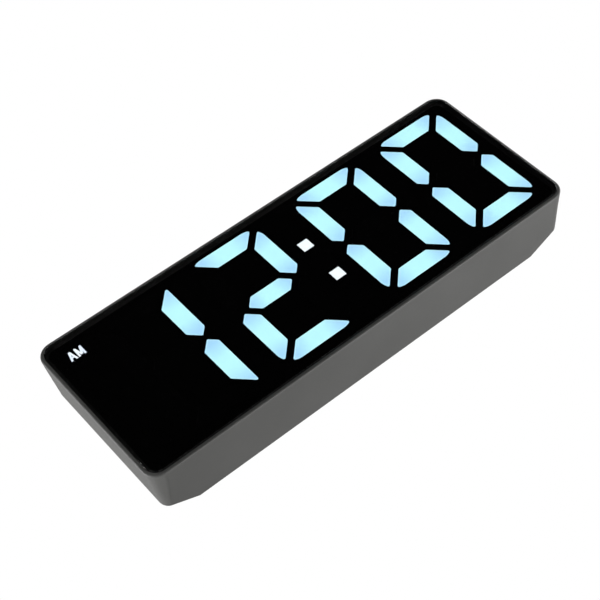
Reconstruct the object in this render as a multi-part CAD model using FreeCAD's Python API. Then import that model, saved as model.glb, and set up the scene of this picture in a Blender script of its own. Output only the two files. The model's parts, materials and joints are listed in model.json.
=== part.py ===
import FreeCAD, Part
import math
import os

# A bar-shaped LED alarm clock that stands on its long bottom side.
# Millimetres. X runs along the display to the right, Y runs from the display to the back, Z is up.
# The origin is the middle of the flat underside.

# ---- body shell ----
WIDTH = 165.0
HEIGHT = 60.3
DEPTH = 23.0                  # depths are measured from the front of the lens
LENS_PROUD = 0.6              # the lens stands this far in front of the rim
CORNER_RADIUS = 5.2           # corners of the shell at the rim, seen from the front
END_CORNER_RADIUS = 2.7       # the lower corners where the slanted ends start
TOP_END_CORNER_RADIUS = 8.0   # the upper corners where the slanted ends start
LEAST_CORNER_RADIUS = 0.3
END_SLANT_DEPTH = 6.2         # how deep the slanted ends are
END_DRAFT = 7.5               # degrees that each end wall leans in towards the back
REAR_FLAT_WIDTH = 136.8       # flat part of the back, between the slanted ends
WALL = 1.8
RIM = 1.2                     # wall of the rim round the lens
RIM_ROUND = 0.6
REAR_ROUND = 0.7

# ---- lens and what lies behind it ----
LENS_THICKNESS = 1.75
LENS_GAP = 0.1
LENS_ROUND = 0.25
TAPE_THICKNESS = 0.15
TAPE_WIDTH = 1.3
LEDGE_THICKNESS = 1.5
LEDGE_WIDTH = 1.6
FILM_GAP = 0.05

# ---- digits ----
DIGIT_WIDTH = 27.1
DIGIT_HEIGHT = 50.0
DIGIT_RAISE = 1.2             # digits sit this much above the middle of the body
DIGIT_PITCH = 36.4
HOURS_X = -32.85
MINUTES_X = 44.95
DIGIT_ROUND = 5.5
LEAD_DIGIT_ROUND = 3.0        # the first digit has sharper outer corners
STROKE = 6.1
SEGMENT_GAP = 2.5
SEGMENT_ROUND = 0.45
MIDDLE_REACH = 8.45           # half length of the middle bar
MIDDLE_HALF = 3.0             # half thickness of the middle bar
TIP_LIFT = 1.0                # how far the side bars stop from the digit's middle line
DIFFUSER_DEPTH = 1.2
DIFFUSER_GAP = 0.05
COLON_X = 5.8
COLON_SIZE = 3.9
COLON_UPPER = 8.9
COLON_LOWER = -6.5
LETTER_HEIGHT = 3.6
LETTER_STROKE = 0.68
LETTER_SPACE = 0.3
LETTER_A_WIDTH = 2.5
LETTER_M_WIDTH = 2.65
LETTER_A_BAR = 0.24           # shares of the letter height
LETTER_M_DIP = 0.1
LETTER_P_BOWL = 0.4
LETTER_P_WIDTH = 2.3
INDICATOR_X = -72.6
AM_Z = 22.2
PM_Z = -20.0
INDICATOR_MARGIN = 0.6

# ---- light box and board ----
LIGHT_BOX_GAP = 0.2
BOARD_THICKNESS = 1.2
BOARD_END_GAP = 0.6
BOARD_EDGE_GAP = 2.35
STAKE_RADIUS = 0.9
STAKE_REACH = 12.0
STAKE_RISE = 0.5              # how far the pins stand out behind the board
LED_LENGTH = 3.5
LED_WIDTH = 2.0
LED_HEIGHT = 0.8

# ---- bosses and screws ----
CASE_BOSS_RADIUS = 2.6
CASE_BOSS_INSET = 3.75        # boss centre from the inner face of the long wall
CASE_SCREW_RADIUS = 1.2
CASE_SCREW_LENGTH = 9.0
CASE_PILOT_SPARE = 1.0        # pilot hole beyond the screw's tip
SCREW_HEAD_RADIUS = 2.3
SCREW_HEAD_HEIGHT = 1.5
BOARD_BOSS_RADIUS = 1.9
BOARD_BOSS_INSET = 4.75
BOARD_LEFT_BOSS_INSET = 3.2
BOARD_RIGHT_BOSS_INSET = 2.6  # this boss stands in the notch between the last digit's side bars
BOARD_END_BOSS_Z = 14.0
BOARD_SCREW_RADIUS = 0.9
BOARD_SCREW_LENGTH = 4.0
BOARD_PILOT_SPARE = 0.3
BOARD_HEAD_RADIUS = 1.7
BOARD_HEAD_HEIGHT = 1.1
SCREW_GAP = 0.05
PART_GAP = 0.3                # room left round bosses and other loose-fitting pieces
HEAD_ROUND = 0.4              # shares of a screw head's height or radius
RECESS_DEPTH = 0.55
RECESS_LENGTH = 1.1
RECESS_WIDTH = 0.28
OVERSHOOT = 1.0               # how far a cutting shape runs past the surface that it cuts

# ---- rear cover ----
COVER = 1.8
COVER_GAP = 0.15
COVER_LEDGE_WIDTH = 1.5
COVER_LEDGE_THICKNESS = 1.3
PAD_THICKNESS = 1.4
PAD_RADIUS = 3.3
PAD_GAP = 0.1                 # between each pad and the end of its boss
JOIN_DEPTH = 0.5              # how far added pieces run into the plate that they stand on
SNAP_WIDTH = 8.0
SNAP_LENGTH = 4.0
SNAP_THICKNESS = 1.2
SNAP_ROOT = 0.6               # how far each tab runs into the slanted end of the cover
SNAP_Z = 14.0

# ---- batteries (AAA cells) ----
CELL_RADIUS = 5.25
CELL_LENGTH = 44.5
CELL_NUB_RADIUS = 1.9
CELL_NUB_LENGTH = 0.8
CELL_PITCH = 11.0
CELL_COUNT = 3
CELL_ROUND = 0.4
CELL_GAP = 0.05               # under the cells
CELL_DOOR_GAP = 0.15
SPRING_ROOM = 4.8
PLATE_ROOM = 1.2
BAY_X = 6.0
BAY_Z = 5.5                   # bottom of the battery bay above the underside
BAY_WALL = 2.0
BAY_FLOOR = 1.0
BAY_BOARD_GAP = 0.3
CONTACT_THICKNESS = 0.3
CONTACT_WIDTH = 8.5
CONTACT_NUB_RADIUS = 1.6
SPRING_WIRE_RADIUS = 0.3
SPRING_BASE_RADIUS = 3.4
SPRING_TURNS = 4
SPRING_TAPER = 12.0           # degrees that the coil narrows towards the cell
TAIL_LENGTH = 2.2
TAIL_WIDTH = 2.4
TAIL_GAP = 0.1
LEAD_RADIUS = 0.5
SOLDER_RADIUS = 1.5
# each lead's points: along the wall, share of the fall to the board, and up
LEAD_POINTS = ((2.6, -0.05, 0.3), (5.2, -0.3, 0.9), (7.2, -0.62, 1.9), (8.2, -0.96, 2.6))

# ---- battery door ----
DOOR_THICKNESS = 1.6
DOOR_OVERLAP = 1.2            # how far the door covers the bay walls
DOOR_GAP = 0.15
HINGE_PIN_RADIUS = 0.5
HINGE_PIN_LENGTH = 1.2
HINGE_GAP = 0.05
LATCH_WIDTH = 12.0
LATCH_DEPTH = 2.2
LATCH_THICKNESS = 0.8
LATCH_LIFT = 0.5              # latch tongue above the bay's lower wall
LATCH_BUMP = 0.15
LATCH_BUMP_LENGTH = 0.6
LATCH_BUMP_PLACE = 0.4        # from the tongue's tip
LATCH_ROOT = 0.3
DOOR_CHAMFER = 0.2
GRIP_RADIUS = 7.0
GRIP_DEPTH = 0.7
ARROW_WIDTH = 6.0             # sunk arrow that shows where to press the door
ARROW_HEIGHT = 3.6
ARROW_DEPTH = 0.3
ARROW_RAISE = 5.2             # arrow tip above the door's lower edge

# ---- push buttons on the back ----
BUTTON_NAMES = ("mode", "up", "down", "alarm", "light")
BUTTON_PITCH = 12.0
BUTTON_FROM_TOP = 13.8
BUTTON_RADIUS = 3.0
BUTTON_GAP = 0.2
BUTTON_FLANGE = 0.9
BUTTON_FLANGE_THICKNESS = 1.0
BUTTON_FLANGE_GAP = 0.3
BUTTON_BELOW_BACK = 0.1       # cap top below the back face
BUTTON_STEM_RADIUS = 1.5
BUTTON_ROUND = 0.4
CHANNEL_DEPTH = 0.8           # sunk strip that the buttons stand in
CHANNEL_MARGIN = 1.6
SWITCH_SIZE = 6.0
SWITCH_HEIGHT = 3.5
RIVET_RADIUS = 0.4
RIVET_INSET = 0.9
RIVET_RISE = 0.15
RIVET_ROOT = 0.1
PLUNGER_RADIUS = 1.75
PLUNGER_HEIGHT = 1.5
PLUNGER_SUNK = 0.9
PLUNGER_GAP = 0.1
PLUNGER_ROUND = 0.2
SWITCH_TRAVEL = 0.5
TOUCH_GAP = 0.05

# ---- snooze bar on the top ----
SNOOZE_LENGTH = 54.0
SNOOZE_WIDTH = 8.0
SNOOZE_RISE = 0.9
SNOOZE_TRAVEL = 0.7
SNOOZE_OFFSET = 1.8           # centre of the bar behind its switch
SNOOZE_GAP = 0.25
SNOOZE_FLANGE = 0.7
SNOOZE_FLANGE_THICKNESS = 0.9
SNOOZE_ROUND = 0.5
SNOOZE_SWITCH_HEIGHT = 4.0
SNOOZE_SWITCH_DEPTH = 4.4
SNOOZE_PLUNGER_RADIUS = 1.4
SNOOZE_PLUNGER_LEFT = 0.4     # plunger still above its switch when fully pressed
SNOOZE_STEM_LENGTH = 1.2
SNOOZE_STEM_EXTRA = 0.4       # stem radius beyond the plunger's

# ---- USB-C inlet on the right-hand end ----
USB_WIDTH = 8.94
USB_HEIGHT = 3.26
USB_LENGTH = 7.35
USB_SHEET = 0.3
USB_ROUND = 1.2
USB_Z = 16.0
USB_GAP = 0.18
USB_SUNK = 0.6
USB_FOOT = 1.0
USB_BASE_LENGTH = 2.2
USB_TONGUE_WIDTH = 6.7
USB_TONGUE_THICKNESS = 0.7
USB_TONGUE_ROUND = 0.3
USB_TONGUE_SUNK = 1.0

# ---- buzzer ----
BUZZER_RADIUS = 6.0
BUZZER_HEIGHT = 5.5
BUZZER_X = -52.0
BUZZER_Z = 24.0
GRILLE_HOLE_RADIUS = 0.75
GRILLE_RADIUS = 3.2
GRILLE_COUNT = 6
SOUND_HOLE_RADIUS = 1.1
SOUND_HOLE_FLOOR = 2.0
CAN_ROUND = 0.4

# ---- small parts on the back of the board: heights above the board, places from the middle ----
CHIP_FOOT = 0.25
CHIP_PIN_REACH = 1.2
CHIP_PIN_WIDTH = 0.4
CHIP_PIN_PITCH = 1.27
CHIP_WIDTH = 7.5
CHIP_HEIGHT = 2.3
DRIVER_CHIP_X = 54.0
DRIVER_CHIP_UP = 4.0
DRIVER_CHIP_LENGTH = 17.9
DRIVER_CHIP_PINS = 14
CLOCK_CHIP_X = 53.0
CLOCK_CHIP_UP = -12.0
CLOCK_CHIP_LENGTH = 12.8
CLOCK_CHIP_PINS = 10
CRYSTAL_X = 62.0
CRYSTAL_UP = -4.0
CRYSTAL_LENGTH = 6.0
CRYSTAL_RADIUS = 1.0
CRYSTAL_LEG_LENGTH = 2.5
CRYSTAL_LEG_RADIUS = 0.2
CRYSTAL_LEG_SPREAD = 0.4
CAPACITOR_X = 68.0
CAPACITOR_UP = 10.0
CAPACITOR_BASE = 6.6
CAPACITOR_BASE_HEIGHT = 1.0
CAPACITOR_RADIUS = 3.15
CAPACITOR_HEIGHT = 6.5
# grids of small parts: first place (x, up), columns and rows, steps (x, up), size (x, up, height)
RESISTOR_GRID = ((38.5, -6.0), (2, 7), (2.6, 1.7), (1.6, 0.8, 0.5))
CHIP_CAPACITOR_GRID = ((66.0, -14.0), (2, 3), (3.4, 2.6), (2.0, 1.25, 0.9))
TRANSISTOR_GRID = ((-70.0, -8.0), (1, 5), (3.0, 4.4), (1.3, 2.9, 1.0))

# ---- places worked out from the sizes above ----
MIDDLE_Z = HEIGHT / 2.0
FRONT_Y = -DEPTH / 2.0
REAR_Y = DEPTH / 2.0
END_WALL_DEPTH = DEPTH - END_SLANT_DEPTH      # where the slanted ends start
DRAFT_RATE = math.tan(math.radians(END_DRAFT))
LENS_BACK = LENS_THICKNESS
LEDGE_FRONT = LENS_BACK + TAPE_THICKNESS
LEDGE_BACK = LEDGE_FRONT + LEDGE_THICKNESS
LIGHT_FRONT = LEDGE_FRONT + FILM_GAP
LIGHT_FLANGE = LEDGE_BACK + DIFFUSER_GAP
COVER_INSIDE = DEPTH - COVER
DOOR_INSIDE = DEPTH - DOOR_THICKNESS
CELL_DEPTH = DOOR_INSIDE - CELL_DOOR_GAP - CELL_RADIUS
BAY_FLOOR_BACK = CELL_DEPTH - CELL_RADIUS - CELL_GAP
BAY_FLOOR_FRONT = BAY_FLOOR_BACK - BAY_FLOOR
BOARD_BACK = BAY_FLOOR_FRONT - BAY_BOARD_GAP
BOARD_FRONT = BOARD_BACK - BOARD_THICKNESS
CASE_BOSS_END = COVER_INSIDE - PAD_THICKNESS - PAD_GAP
INNER_HALF_HEIGHT = MIDDLE_Z - WALL
BAY_LENGTH = CELL_LENGTH + SPRING_ROOM + PLATE_ROOM
BAY_LEFT = BAY_X - BAY_LENGTH / 2.0
BAY_RIGHT = BAY_X + BAY_LENGTH / 2.0
BAY_TOP = BAY_Z + CELL_PITCH * CELL_COUNT
HINGE_Z = BAY_TOP + DOOR_OVERLAP - DOOR_GAP - DOOR_THICKNESS / 2.0
HINGE_DEPTH = DEPTH - DOOR_THICKNESS / 2.0
BUTTON_Z = HEIGHT - BUTTON_FROM_TOP
CHANNEL_FLOOR = DEPTH - CHANNEL_DEPTH
BUTTON_PLATE_INSIDE = CHANNEL_FLOOR - COVER
SWITCH_TOP = BOARD_BACK + SWITCH_HEIGHT
PLUNGER_TOP = SWITCH_TOP + PLUNGER_HEIGHT
SNOOZE_FLANGE_TOP = HEIGHT - WALL - PART_GAP
SNOOZE_FLANGE_BOTTOM = SNOOZE_FLANGE_TOP - SNOOZE_FLANGE_THICKNESS
SNOOZE_STEM_BOTTOM = SNOOZE_FLANGE_BOTTOM - SNOOZE_STEM_LENGTH
SNOOZE_PLUNGER_TOP = SNOOZE_STEM_BOTTOM - TOUCH_GAP
SNOOZE_SWITCH_TOP = SNOOZE_PLUNGER_TOP - SNOOZE_TRAVEL - SNOOZE_PLUNGER_LEFT
SNOOZE_SWITCH_AXIS = BOARD_BACK + SNOOZE_SWITCH_DEPTH / 2.0
SNOOZE_DEPTH = SNOOZE_SWITCH_AXIS + SNOOZE_OFFSET
MITRE = (DIGIT_HEIGHT - DIGIT_WIDTH) / 2.0
BOSS_XS = (HOURS_X, MINUTES_X)


def y_at(depth):
    """Y of a plane this far behind the front of the lens."""
    return FRONT_Y + depth


def half_width_at(depth):
    """Half the shell's outer width at this depth. WIDTH is the width of the rim."""
    return WIDTH / 2.0 - (depth - LENS_PROUD) * DRAFT_RATE


def corner_radius_at(depth, end_radius, inset):
    """A corner radius of the shell at this depth, moved in by inset. It ends at end_radius."""
    rate = (end_radius - CORNER_RADIUS) / (END_WALL_DEPTH - LENS_PROUD)
    radius = CORNER_RADIUS + (depth - LENS_PROUD) * rate - inset
    return max(radius, LEAST_CORNER_RADIUS)


def box(x0, x1, depth0, depth1, z0, z1):
    corner = FreeCAD.Vector(x0, y_at(depth0), z0)
    return Part.makeBox(x1 - x0, depth1 - depth0, z1 - z0, corner)


def block(x, z, width, height, depth0, depth1):
    """A box centred on x and z."""
    return box(x - width / 2.0, x + width / 2.0, depth0, depth1, z - height / 2.0, z + height / 2.0)


def rod(x, z, radius, depth0, depth1):
    """A cylinder that runs front to back."""
    start = FreeCAD.Vector(x, y_at(depth0), z)
    return Part.makeCylinder(radius, depth1 - depth0, start, FreeCAD.Vector(0, 1, 0))


def rod_along_x(x0, x1, depth, z, radius):
    start = FreeCAD.Vector(x0, y_at(depth), z)
    return Part.makeCylinder(radius, x1 - x0, start, FreeCAD.Vector(1, 0, 0))


def face_from(points, depth):
    """A flat face through (x, z) points, facing front to back."""
    corners = [FreeCAD.Vector(x, y_at(depth), z) for x, z in points]
    return Part.Face(Part.makePolygon(corners + corners[:1]))


def prism(points, depth0, depth1):
    return face_from(points, depth0).extrude(FreeCAD.Vector(0, depth1 - depth0, 0))


def corner_arc(x, z, half_w, half_h, radius, depth, turn):
    """The points of one rounded corner: turn 0 is the lower right one, and they go round to the left."""
    sign_x = (1, 1, -1, -1)[turn]
    sign_z = (-1, 1, 1, -1)[turn]
    centre = FreeCAD.Vector(x + sign_x * (half_w - radius), y_at(depth), z + sign_z * (half_h - radius))
    points = []
    for share in (0.0, 0.5, 1.0):
        angle = math.radians(90.0 * (turn - 1 + share))
        points.append(centre + FreeCAD.Vector(radius * math.cos(angle), 0, radius * math.sin(angle)))
    return points


def rounded_wire(x, z, width, height, radius, depth):
    """A rounded rectangle in a front-facing plane, centred on x and z."""
    corners = [corner_arc(x, z, width / 2.0, height / 2.0, radius, depth, turn) for turn in range(4)]
    edges = []
    for corner, following in zip(corners, corners[1:] + corners[:1]):
        edges.append(Part.Arc(*corner).toShape())
        edges.append(Part.LineSegment(corner[-1], following[0]).toShape())
    return Part.Wire(edges)


def rounded_plate(x, z, width, height, radius, depth0, depth1):
    face = Part.Face(rounded_wire(x, z, width, height, radius, depth0))
    return face.extrude(FreeCAD.Vector(0, depth1 - depth0, 0))


def drafted_prism(inset, depth0, depth1):
    """The shell's outline, moved in by inset. Towards the back its ends lean in, its lower corners
    sharpen and its upper corners widen."""
    half_w = half_width_at(depth0) - inset
    half_h = HEIGHT / 2.0 - inset
    corners = [(half_w, -half_h), (half_w, half_h), (-half_w, half_h), (-half_w, -half_h)]
    face = face_from([(x, MIDDLE_Z + z) for x, z in corners], depth0)
    length = depth1 - depth0
    leaning = [face.extrude(FreeCAD.Vector(side * length * DRAFT_RATE, length, 0)) for side in (-1, 1)]
    solid = leaning[0].common(leaning[1]).removeSplitter()
    for side, end_radius in ((-1, END_CORNER_RADIUS), (1, TOP_END_CORNER_RADIUS)):
        long_edges = [edge for edge in solid.Edges if edge.BoundBox.YLength > length / 2.0
                      and side * (edge.CenterOfMass.z - MIDDLE_Z) > 0]
        radii = [corner_radius_at(depth, end_radius, inset) for depth in (depth0, depth1)]
        solid = solid.makeFillet(radii[0], radii[1], long_edges)
    return solid


def depth_profile(inset):
    """Everything in front of the back and its slanted ends, moved in by inset."""
    end_x = half_width_at(END_WALL_DEPTH)
    rear_x = REAR_FLAT_WIDTH / 2.0
    slope = math.atan2(DEPTH - END_WALL_DEPTH, end_x - rear_x)
    bend_x = rear_x - inset * math.tan(slope / 2.0)
    reach = WIDTH
    reach_depth = DEPTH - inset - (reach - bend_x) * math.tan(slope)
    near = -2.0 * WIDTH
    points = [(-reach, near), (reach, near), (reach, reach_depth), (bend_x, DEPTH - inset)]
    points += [(-bend_x, DEPTH - inset), (-reach, reach_depth)]
    corners = [FreeCAD.Vector(x, y_at(depth), -HEIGHT) for x, depth in points]
    face = Part.Face(Part.makePolygon(corners + corners[:1]))
    return face.extrude(FreeCAD.Vector(0, 0, 3.0 * HEIGHT))


def edges_where(shape, test):
    """Edges whose every sampled point passes the test."""
    chosen = []
    for edge in shape.Edges:
        low, high = edge.ParameterRange
        samples = [edge.valueAt(low + (high - low) * share) for share in (0.0, 0.5, 1.0)]
        if all(test(point) for point in samples):
            chosen.append(edge)
    return chosen


def shell_blank():
    """The solid outer form of the clock, with its edges rounded."""
    blank = drafted_prism(0.0, LENS_PROUD, DEPTH).common(depth_profile(0.0))
    rim = edges_where(blank, lambda p: abs(p.y - y_at(LENS_PROUD)) < 0.01)
    blank = blank.makeFillet(RIM_ROUND, rim)
    start = y_at(END_WALL_DEPTH) - 0.1
    wall = MIDDLE_Z - 0.01
    rear = edges_where(blank, lambda p: p.y > start and abs(p.z - MIDDLE_Z) > wall)
    return blank.makeFillet(REAR_ROUND, rear)


def case_boss_places():
    """Each place is (x, z from the middle, wall), where wall says which wall the boss stands by."""
    offset = INNER_HALF_HEIGHT - CASE_BOSS_INSET
    return [(x, side * offset, wall) for x in BOSS_XS for side, wall in ((-1, "bottom"), (1, "top"))]


def board_boss_places():
    """One boss above the colon, two on the left-hand end wall and one on the right-hand end wall."""
    offset = INNER_HALF_HEIGHT - BOARD_BOSS_INSET
    middle_x = (HOURS_X + MINUTES_X) / 2.0
    end_x = half_width_at(BOARD_FRONT) - WALL
    places = [(middle_x, offset, "top"), (end_x - BOARD_RIGHT_BOSS_INSET, DIGIT_RAISE, "right")]
    return places + [(BOARD_LEFT_BOSS_INSET - end_x, side * BOARD_END_BOSS_Z, "left") for side in (-1, 1)]


def wall_rib(x, z, wall, radius, gap, depth0, depth1):
    """The web between a boss and the wall that it stands by."""
    half = radius / 2.0 + gap
    if wall in ("top", "bottom"):
        reach = INNER_HALF_HEIGHT + WALL / 2.0
        low, high = sorted((z, math.copysign(reach, z)))
        return box(x - half, x + half, depth0, depth1, MIDDLE_Z + low, MIDDLE_Z + high)
    reach = half_width_at((depth0 + depth1) / 2.0) - WALL / 2.0
    low, high = sorted((x, math.copysign(reach, x)))
    return box(low, high, depth0, depth1, MIDDLE_Z + z - half, MIDDLE_Z + z + half)


def boss_group(places, radius, gap, depth0, depth1):
    shapes = []
    for x, z, wall in places:
        shapes.append(rod(x, MIDDLE_Z + z, radius + gap, depth0, depth1))
        shapes.append(wall_rib(x, z, wall, radius, gap, depth0, depth1))
    return shapes


def bosses(gap, front, case_end, board_end):
    """Every screw boss with its rib, grown by gap."""
    case = boss_group(case_boss_places(), CASE_BOSS_RADIUS, gap, front, case_end)
    return case + boss_group(board_boss_places(), BOARD_BOSS_RADIUS, gap, front, board_end)


def lens_size():
    return WIDTH - 2.0 * (RIM + LENS_GAP), HEIGHT - 2.0 * (RIM + LENS_GAP)


def opening_size():
    """The opening inside the ledge that the lens is taped to."""
    inset = RIM + LEDGE_WIDTH
    return WIDTH - 2.0 * inset, HEIGHT - 2.0 * inset, CORNER_RADIUS - inset


def usb_depth():
    return BOARD_BACK + USB_HEIGHT / 2.0 + TOUCH_GAP


def usb_mouth_x():
    return half_width_at(usb_depth()) - USB_SUNK


def rounded_bar_x(x0, x1, depth, z, height_y, width_z, radius):
    """A bar along X with rounded long edges."""
    half_y = height_y / 2.0
    half_z = width_z / 2.0
    blank = box(x0, x1, depth - half_y, depth + half_y, z - half_z, z + half_z)
    long_edges = [edge for edge in blank.Edges if abs(edge.Length - (x1 - x0)) < 0.001]
    return blank.makeFillet(radius, long_edges)


def usb_bar(x0, x1, grow):
    """The inlet's rounded outline, grown all round, between two places along X."""
    height = USB_HEIGHT + 2.0 * grow
    width = USB_WIDTH + 2.0 * grow
    return rounded_bar_x(x0, x1, usb_depth(), USB_Z, height, width, USB_ROUND + grow)


def snooze_plate(gap, z0, z1):
    """The snooze bar's outline, grown by gap, between two heights."""
    radius = SNOOZE_WIDTH / 2.0 + gap
    straight = SNOOZE_LENGTH - SNOOZE_WIDTH
    y = y_at(SNOOZE_DEPTH)
    plate = Part.makeBox(straight, 2.0 * radius, z1 - z0, FreeCAD.Vector(-straight / 2.0, y - radius, z0))
    for side in (-1, 1):
        end = FreeCAD.Vector(side * straight / 2.0, y, z0)
        plate = plate.fuse(Part.makeCylinder(radius, z1 - z0, end))
    return plate.removeSplitter()


def front_housing(blank):
    lens_width, lens_height = WIDTH - 2.0 * RIM, HEIGHT - 2.0 * RIM
    rabbet_radius = CORNER_RADIUS - RIM
    rabbet = rounded_plate(0, MIDDLE_Z, lens_width, lens_height, rabbet_radius, -1.0, LEDGE_FRONT)
    open_width, open_height, open_radius = opening_size()
    opening = rounded_plate(0, MIDDLE_Z, open_width, open_height, open_radius, 0.0, LEDGE_BACK + JOIN_DEPTH)
    inside = drafted_prism(WALL, LEDGE_BACK, DEPTH + OVERSHOOT)
    housing = blank.cut(rabbet).cut(opening).cut(inside)
    ledge = drafted_prism(WALL / 2.0, LEDGE_BACK, DEPTH).common(depth_profile(COVER))
    ledge = ledge.cut(depth_profile(COVER + COVER_LEDGE_THICKNESS))
    clear_height = 2.0 * (INNER_HALF_HEIGHT - COVER_LEDGE_WIDTH)
    ledge = ledge.cut(block(0, MIDDLE_Z, 2.0 * WIDTH, clear_height, 0.0, DEPTH))
    end_clear = half_width_at(END_WALL_DEPTH) - WALL - COVER_LEDGE_WIDTH
    ledge = ledge.common(block(0, MIDDLE_Z, 2.0 * end_clear, HEIGHT, 0.0, DEPTH))
    for x, z, wall in case_boss_places():
        ledge = ledge.cut(rod(x, MIDDLE_Z + z, PAD_RADIUS + PART_GAP, 0.0, DEPTH))
    root = LEDGE_BACK - LEDGE_THICKNESS / 5.0
    housing = housing.multiFuse([ledge] + bosses(0.0, root, CASE_BOSS_END, BOARD_FRONT))
    for x, z, wall in case_boss_places():
        pilot = CASE_SCREW_RADIUS + SCREW_GAP
        deep = COVER_INSIDE - CASE_SCREW_LENGTH - CASE_PILOT_SPARE
        housing = housing.cut(rod(x, MIDDLE_Z + z, pilot, deep, CASE_BOSS_END + OVERSHOOT))
    for x, z, wall in board_boss_places():
        pilot = BOARD_SCREW_RADIUS + SCREW_GAP
        deep = BOARD_BACK - BOARD_SCREW_LENGTH - BOARD_PILOT_SPARE
        housing = housing.cut(rod(x, MIDDLE_Z + z, pilot, deep, BOARD_FRONT + OVERSHOOT))
    housing = housing.cut(snooze_plate(SNOOZE_GAP, HEIGHT - WALL - OVERSHOOT, HEIGHT + OVERSHOOT))
    return housing.cut(usb_bar(WIDTH / 4.0, WIDTH, USB_GAP)).removeSplitter()


def front_lens():
    width, height = lens_size()
    radius = CORNER_RADIUS - RIM - LENS_GAP
    lens = rounded_plate(0, MIDDLE_Z, width, height, radius, 0.0, LENS_BACK)
    front = edges_where(lens, lambda p: abs(p.y - FRONT_Y) < 0.01)
    return lens.makeFillet(LENS_ROUND, front)


def tape_window():
    width, height = lens_size()
    inset = 2.0 * TAPE_WIDTH
    return width - inset, height - inset, CORNER_RADIUS - RIM - LENS_GAP - TAPE_WIDTH


def lens_tape():
    width, height = lens_size()
    radius = CORNER_RADIUS - RIM - LENS_GAP
    sheet = rounded_plate(0, MIDDLE_Z, width, height, radius, LENS_BACK, LEDGE_FRONT)
    window_width, window_height, window_radius = tape_window()
    window = rounded_plate(0, MIDDLE_Z, window_width, window_height, window_radius, LENS_BACK, LEDGE_FRONT)
    return sheet.cut(window)


# ---- seven-segment digits ----

def top_bar():
    half_h = DIGIT_HEIGHT / 2.0
    shift = MITRE + SEGMENT_GAP / math.sqrt(2.0)
    inner = half_h - STROKE
    lower = [(shift - inner, inner), (inner - shift, inner)]
    return lower + [(half_h - shift, half_h), (shift - half_h, half_h)]


def upper_right_bar():
    half_w = DIGIT_WIDTH / 2.0
    half_h = DIGIT_HEIGHT / 2.0
    inner = half_w - STROKE
    slope = MIDDLE_REACH + SEGMENT_GAP * math.sqrt(2.0)
    tip_x = slope - TIP_LIFT
    cut = SEGMENT_GAP / math.sqrt(2.0)
    points = [(inner, slope - inner), (tip_x, TIP_LIFT), (half_w, TIP_LIFT + half_w - tip_x)]
    return points + [(half_w, half_h - cut), (inner, half_h - STROKE - cut)]


def middle_bar():
    end = MIDDLE_REACH - MIDDLE_HALF
    right = [(end, -MIDDLE_HALF), (MIDDLE_REACH, 0.0), (end, MIDDLE_HALF)]
    left = [(-x, -z) for x, z in right]
    return right + left


def segment_points(letter):
    """Outline of one bar of a digit, about the digit's middle. Bars are lettered a to g."""
    outlines = {"a": (top_bar, 1, 1), "d": (top_bar, 1, -1), "g": (middle_bar, 1, 1)}
    outlines.update({"b": (upper_right_bar, 1, 1), "c": (upper_right_bar, 1, -1)})
    outlines.update({"f": (upper_right_bar, -1, 1), "e": (upper_right_bar, -1, -1)})
    outline, flip_x, flip_z = outlines[letter]
    return [(flip_x * x, flip_z * z) for x, z in outline()]


def segment_face(letter, x, corner, grow, depth):
    """One bar, with the digit's rounded outer corners and slightly rounded tips."""
    z = MIDDLE_Z + DIGIT_RAISE
    bar = face_from([(x + px, z + pz) for px, pz in segment_points(letter)], depth)
    outline = Part.Face(rounded_wire(x, z, DIGIT_WIDTH, DIGIT_HEIGHT, corner, depth))
    bar = bar.common(outline).Faces[0]
    smaller = bar.makeOffset2D(-SEGMENT_ROUND)
    return smaller.makeOffset2D(SEGMENT_ROUND + grow)


def digit_places():
    """Each digit's centre, corner radius and the bars that light up for twelve o'clock."""
    half = DIGIT_PITCH / 2.0
    hours = [(HOURS_X - half, LEAD_DIGIT_ROUND, "bc"), (HOURS_X + half, DIGIT_ROUND, "abged")]
    minutes = [(MINUTES_X + side * half, DIGIT_ROUND, "abcdef") for side in (-1, 1)]
    return hours, minutes


def segment_group(digits, lit, grow, depth0, depth1):
    solids = []
    for x, corner, bars in digits:
        for letter in "abcdefg":
            if (letter in bars) == lit:
                face = segment_face(letter, x, corner, grow, depth0)
                solids.append(face.extrude(FreeCAD.Vector(0, depth1 - depth0, 0)))
    return solids


def colon_group(grow, depth0, depth1):
    size = COLON_SIZE + 2.0 * grow
    heights = (MIDDLE_Z + COLON_UPPER, MIDDLE_Z + COLON_LOWER)
    return [block(COLON_X, z, size, size, depth0, depth1) for z in heights]


def stroke_between(x0, z0, x1, z1):
    """A slanted letter stroke with level ends."""
    half = LETTER_STROKE / 2.0
    return [(x0 - half, z0), (x0 + half, z0), (x1 + half, z1), (x1 - half, z1)]


def upright(x):
    return stroke_between(x, 0.0, x, LETTER_HEIGHT)


def letter_a():
    half = LETTER_STROKE / 2.0
    middle = LETTER_A_WIDTH / 2.0
    bar_low = LETTER_HEIGHT * LETTER_A_BAR
    bar_side = LETTER_STROKE
    left = stroke_between(half, 0.0, middle, LETTER_HEIGHT)
    right = stroke_between(LETTER_A_WIDTH - half, 0.0, middle, LETTER_HEIGHT)
    bar_top = bar_low + LETTER_STROKE
    bar = [(bar_side, bar_low), (LETTER_A_WIDTH - bar_side, bar_low)]
    bar += [(LETTER_A_WIDTH - bar_side, bar_top), (bar_side, bar_top)]
    return [left, right, bar]


def letter_m():
    half = LETTER_STROKE / 2.0
    middle = LETTER_M_WIDTH / 2.0
    dip = LETTER_HEIGHT * LETTER_M_DIP
    left = stroke_between(middle, dip, half, LETTER_HEIGHT)
    right = stroke_between(middle, dip, LETTER_M_WIDTH - half, LETTER_HEIGHT)
    return [upright(half), upright(LETTER_M_WIDTH - half), left, right]


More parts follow.
